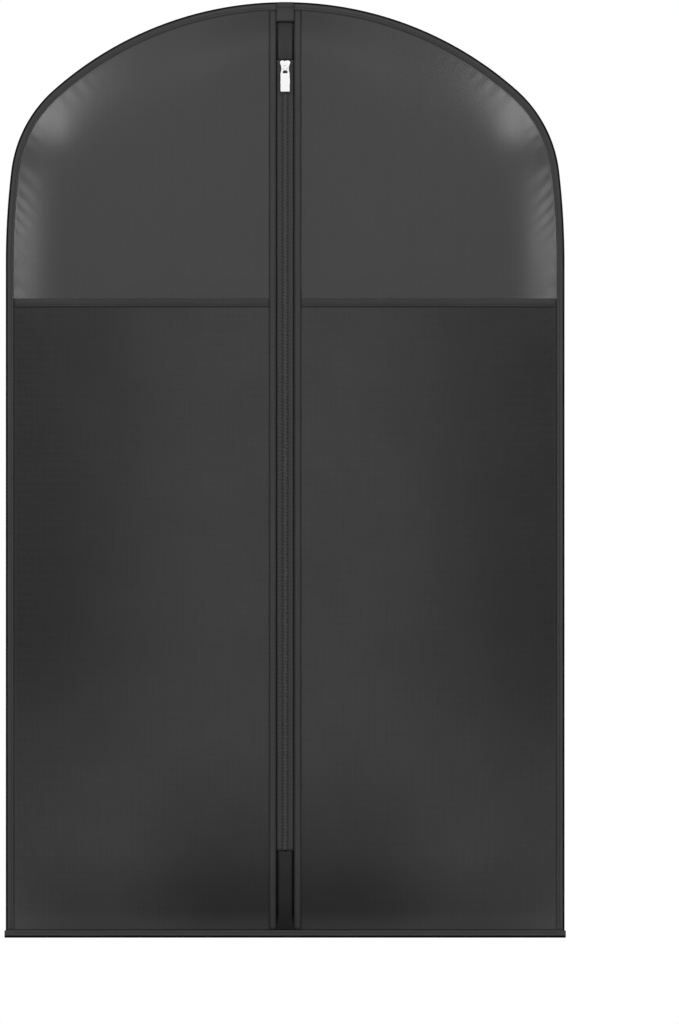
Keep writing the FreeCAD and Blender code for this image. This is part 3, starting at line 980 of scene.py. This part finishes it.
nylon = Recipe("coil_nylon")
rub = nylon.noise(900, 900, 2)
nylon.shade(rub, (0.068, 0.068, 0.069), (0.095, 0.095, 0.096))
nylon.bump(rub, 0.00002, 0.4)
COIL_NYLON = nylon.set(Roughness=nylon.spread(rub, 0.3, 0.7, 0.26, 0.36), Specular_IOR_Level=0.5)

COIL_TOP = -0.0684
COIL_FOOT = -0.9208
COIL_PITCH = 0.00125
WIRE = 0.00027
SEWN_FROM = -0.0762
SEWN_PITCH = 0.0035
for name, side in SIDES:
    turns = int((COIL_TOP - COIL_FOOT) / COIL_PITCH)
    steps = 12
    t = np.arange(turns * steps) * 2 * math.pi / steps
    z = COIL_TOP - COIL_PITCH * (t / (2 * math.pi) + (0.5 if side < 0 else 0.0))
    z = z[z > COIL_FOOT]
    t = t[: len(z)]
    line = np.stack([side * (0.00130 + 0.00160 * np.cos(t)), -0.0245 + 0.00078 * np.sin(t), z], -1)
    ahead = np.gradient(line, axis=0)
    ahead /= np.linalg.norm(ahead, axis=1)[:, None]
    out = np.stack([side * np.cos(t), np.sin(t), np.zeros_like(t)], -1)
    out -= ahead * (out * ahead).sum(1)[:, None]
    out /= np.linalg.norm(out, axis=1)[:, None]
    other = np.cross(ahead, out)
    rings = []
    for m in range(5):
        turn = 2 * math.pi * m / 5
        rings.append(line + WIRE * (math.cos(turn) * out + math.sin(turn) * other))
    vertices = np.stack(rings, 1).reshape(-1, 3)
    run = np.arange(len(line)) * 0.0008
    flat = np.stack([np.repeat(run, 5), np.tile(np.arange(5) * 0.0003, len(line))], -1)
    coil = cloth_object("coil_filament_" + name, vertices, tube_faces(len(line), 5), flat)
    face_out(coil)
    opens(coil, side)
    coil.data.materials.append(COIL_NYLON)
    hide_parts("zip_coil_" + name)
    first = SEWN_FROM - (SEWN_PITCH / 2 if side < 0 else 0.0)
    heights = np.linspace(first, COIL_FOOT + 0.0004, 500)
    seam = np.stack([np.full(500, side * 0.0021), np.full(500, -0.02512), heights], -1)
    coil_stitches = stitched("coil_stitches_" + name, [to_front(seam)], SEWN_PITCH, thread=0.00068, reach=0.27)
    opens(coil_stitches, side)


# Slider. A small die-cast body plated in bright nickel: two heart-shaped plates, the side walls that
# hold the coil between them, the wedge that parts it, and the bail that carries the pull.

SLIDER_TOP = -0.0637
SLIDER_FRONT = -0.02715
PIN_Z = -0.0723
PIN_Y = -0.0284

nickel = Recipe("nickel_plate")
swirl = nickel.noise(700, 260, 3)
nickel.shade(swirl, (0.92, 0.92, 0.925), (0.97, 0.97, 0.975))
nickel.bump(nickel.noise(2400, 900, 2), 0.00002, 0.25)
NICKEL = nickel.set(Metallic=1.0, Roughness=nickel.spread(swirl, 0.3, 0.7, 0.16, 0.26))


def cut_plate(name, loops, low, high, rounding, plane="XZ"):
    """A plate cut to the loops (the first outside, the rest holes) with rounded edges, between two depths.
    In plane XZ its thickness runs along Y, and in plane YZ along X."""
    curve = bpy.data.curves.new(name, "CURVE")
    curve.dimensions = "2D"
    curve.fill_mode = "BOTH"
    curve.extrude = (high - low) / 2 - rounding
    curve.bevel_depth = rounding
    curve.bevel_resolution = 3
    curve.offset = -rounding
    for loop in loops:
        spline = curve.splines.new("POLY")
        spline.points.add(len(loop) - 1)
        for point, (a, b) in zip(spline.points, loop):
            point.co = (a, b, 0, 1)
        spline.use_cyclic_u = True
    maker = placed(name, curve)
    bpy.context.view_layer.update()
    mesh = bpy.data.meshes.new_from_object(maker.evaluated_get(bpy.context.evaluated_depsgraph_get()))
    bpy.data.objects.remove(maker)
    place = np.empty(len(mesh.vertices) * 3)
    mesh.vertices.foreach_get("co", place)
    place = place.reshape(-1, 3)
    middle = (low + high) / 2
    if plane == "XZ":
        place = np.stack([place[:, 0], middle + place[:, 2], place[:, 1]], -1)
    else:
        place = np.stack([middle + place[:, 2], place[:, 0], place[:, 1]], -1)
    faces = [tuple(polygon.vertices) for polygon in mesh.polygons]
    piece = cloth_object(name, place, faces)
    face_out(piece, weld=1e-6)
    piece.data.set_sharp_from_angle(angle=math.radians(40))
    return piece


def heart():
    """The slider's outline: two lobes at the top, a waist, and a narrow foot."""
    lobe_x, lobe_z, lobe = 0.00275, SLIDER_TOP - 0.0029, 0.0029
    turns = np.linspace(-0.5, 2.72, 22)
    right = [(lobe_x + lobe * math.cos(a), lobe_z + lobe * math.sin(a)) for a in turns]
    side = [(0.0046, SLIDER_TOP - 0.0060), (0.0043, SLIDER_TOP - 0.0076), (0.0043, SLIDER_TOP - 0.0096)]
    foot = [(0.0045, SLIDER_TOP - 0.0111), (0.0041, SLIDER_TOP - 0.0118)]
    half = foot[::-1] + side[::-1] + right + [(0.0, SLIDER_TOP - 0.0019)]
    return half + [(-x, z) for x, z in reversed(half[:-1])]


def bend(y, z, radius, start, stop, count):
    """A rounded corner of the bail, from one angle to another."""
    return [(y - radius * math.sin(a), z - radius * math.cos(a)) for a in np.linspace(start, stop, count)]


QUARTER, HALF = math.pi / 2, math.pi
WALL_FRONT = -0.0262
slider_pieces = [
    cut_plate("slider_body", [heart()], SLIDER_FRONT, SLIDER_FRONT + 0.0012, 0.00035),
    cut_plate("slider_body", [heart()], -0.02245, -0.02125, 0.00035),
]
wall_top, wall_foot = SLIDER_TOP - 0.0050, SLIDER_TOP - 0.0113
for low, high in ((-0.00425, -0.0036), (0.0036, 0.00425)):
    wall = [(low, wall_foot), (high, wall_foot), (high, wall_top), (low, wall_top)]
    slider_pieces.append(cut_plate("slider_body", [wall], WALL_FRONT, -0.02380, 0.00015))
wedge_top, wedge_foot = SLIDER_TOP - 0.0022, SLIDER_TOP - 0.0042
wedge = [(-0.0012, wedge_top), (-0.0009, wedge_foot), (0.0009, wedge_foot), (0.0012, wedge_top)]
slider_pieces.append(cut_plate("slider_body", [wedge], WALL_FRONT, -0.0222, 0.00015))
BAIL_ROOT = SLIDER_FRONT + 0.0002
arch = [(BAIL_ROOT, PIN_Z - 0.0030)]
arch += bend(-0.0297, PIN_Z - 0.00185, 0.00115, 0, QUARTER, 8)
arch += bend(-0.0297, PIN_Z + 0.00185, 0.00115, QUARTER, HALF, 8)
arch += [(BAIL_ROOT, PIN_Z + 0.0030), (BAIL_ROOT, PIN_Z + 0.0020)]
arch += bend(-0.0291, PIN_Z + 0.0014, 0.0006, HALF, QUARTER, 6)
arch += bend(-0.0291, PIN_Z - 0.0014, 0.0006, QUARTER, 0, 6)
arch += [(BAIL_ROOT, PIN_Z - 0.0020)]
slider_pieces.append(cut_plate("slider_body", [arch], -0.0016, 0.0016, 0.00022, "YZ"))
slider = joined(slider_pieces, "slider_body")
slider.data.materials.append(NICKEL)
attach(slider, "slider")
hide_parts("zip_slider")


# Pull. A flat nickel-plated tab stamped with a slot at its neck; the bar above the slot turns in
# the bail, so the tab hangs down or lifts over the slider.

PULL_HALF = 0.0006
pull_outline = [
    (-0.0038, 0.00075), (0.0038, 0.00075), (0.0042, 0.0003), (0.0043, -0.0022),
    (0.0047, -0.0042), (0.00505, -0.0062), (0.00505, -0.0251), (0.0047, -0.0255),
]
pull_outline += [(-x, z) for x, z in reversed(pull_outline[2:])]
pull_slot = [
    (-0.0023, -0.00072), (0.0023, -0.00072), (0.0025, -0.0010), (0.0025, -0.0051),
    (0.0022, -0.0054), (-0.0022, -0.0054), (-0.0025, -0.0051), (-0.0025, -0.0010),
]
pull_loops = [[(x, PIN_Z + z) for x, z in loop] for loop in (pull_outline, pull_slot)]
pull = cut_plate("pull_tab", pull_loops, PIN_Y - PULL_HALF, PIN_Y + PULL_HALF, 0.00028)
pull.data.materials.append(NICKEL)
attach(pull, "pull")
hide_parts("zip_pull")


# Studio. A pale floor that fades into a white surround, large soft lights above in front and behind,
# and two small soft boxes at each side for the gloss on the film.

FLOOR_Z = -1.25
FLOOR_RADIUS = 2.6
floor_mesh = bpy.data.meshes.new("floor")
turns = np.linspace(0, 2 * math.pi, 64, endpoint=False)
rim = [(FLOOR_RADIUS * math.cos(a), FLOOR_RADIUS * math.sin(a), FLOOR_Z) for a in turns]
floor_mesh.from_pydata(rim, [], [tuple(range(64))])
floor = placed("floor", floor_mesh)
paint = Recipe("floor_paint")
where = paint.node("ShaderNodeTexCoord").outputs["Object"]
reach = paint.node("ShaderNodeVectorMath", {0: where}, operation="LENGTH").outputs["Value"]
fade = paint.falling(reach, 0.75, 1.9)
floor.data.materials.append(paint.set(Base_Color=(0.86, 0.86, 0.86, 1), Roughness=0.9, Alpha=fade))

world = bpy.data.worlds.new("surround")
bpy.context.scene.world = world
world.use_nodes = True
sky = world.node_tree
around = sky.nodes["Background"]
around.inputs["Color"].default_value = (1, 1, 1, 1)
heading = add_node(sky, "ShaderNodeTexCoord").outputs["Generated"]


def glow(direction, low, strength):
    """A broad soft light that fades away from one direction of the surround."""
    inputs = {0: heading, 1: Vector(direction).normalized()}
    turn = add_node(sky, "ShaderNodeVectorMath", inputs, operation="DOT_PRODUCT").outputs["Value"]
    limits = {"Value": turn, "From Min": low, "From Max": 1.0, "To Max": strength}
    return add_node(sky, "ShaderNodeMapRange", limits, interpolation_type="SMOOTHSTEP").outputs["Result"]


def added(a, b):
    return add_node(sky, "ShaderNodeMath", {0: a, 1: b}, operation="ADD").outputs[0]


front_glow = glow((0, -0.95, 0.30), 0.35, 0.89)
rear_glow = glow((0, 0.85, 0.5), 0.2, 0.7)
sky.links.new(added(added(front_glow, rear_glow), 0.10), around.inputs["Strength"])
seen = add_node(sky, "ShaderNodeBackground", {"Color": (1, 1, 1, 1), "Strength": 1.0}).outputs["Background"]
to_camera = add_node(sky, "ShaderNodeLightPath").outputs["Is Camera Ray"]
choose = add_node(sky, "ShaderNodeMixShader", {"Fac": to_camera, 1: around.outputs["Background"], 2: seen})
sky.links.new(choose.outputs["Shader"], sky.nodes["World Output"].inputs["Surface"])


def soft_box(name, place, aim, wide, tall, power):
    data = bpy.data.lights.new(name, "AREA")
    data.shape = "RECTANGLE"
    data.size = wide
    data.size_y = tall
    data.energy = power
    lamp = placed(name, data)
    lamp.location = place
    lamp.rotation_euler = (Vector(aim) - Vector(place)).to_track_quat("-Z", "Y").to_euler()
    return lamp


key = soft_box("key", (0.0, -2.6, 1.5), (0, 0, -0.5), 1.2, 0.8, 24)
key.visible_glossy = False
for side in (-1, 1):
    shoulder, flank = (side * 0.26, 0, -0.13), (side * 0.28, 0, -0.235)
    soft_box("shoulder_light", (side * 1.18, -1.20, 0.71), shoulder, 0.36, 0.60, 8.6)
    soft_box("side_light", (side * 1.45, -1.16, -0.20), flank, 0.26, 0.18, 2.7)
soft_box("rear", (0.0, 2.4, 0.6), (0, 0, -0.5), 2.4, 1.6, 20)

bpy.context.scene.view_settings.view_transform = "Standard"
bpy.context.scene.view_settings.look = "None"
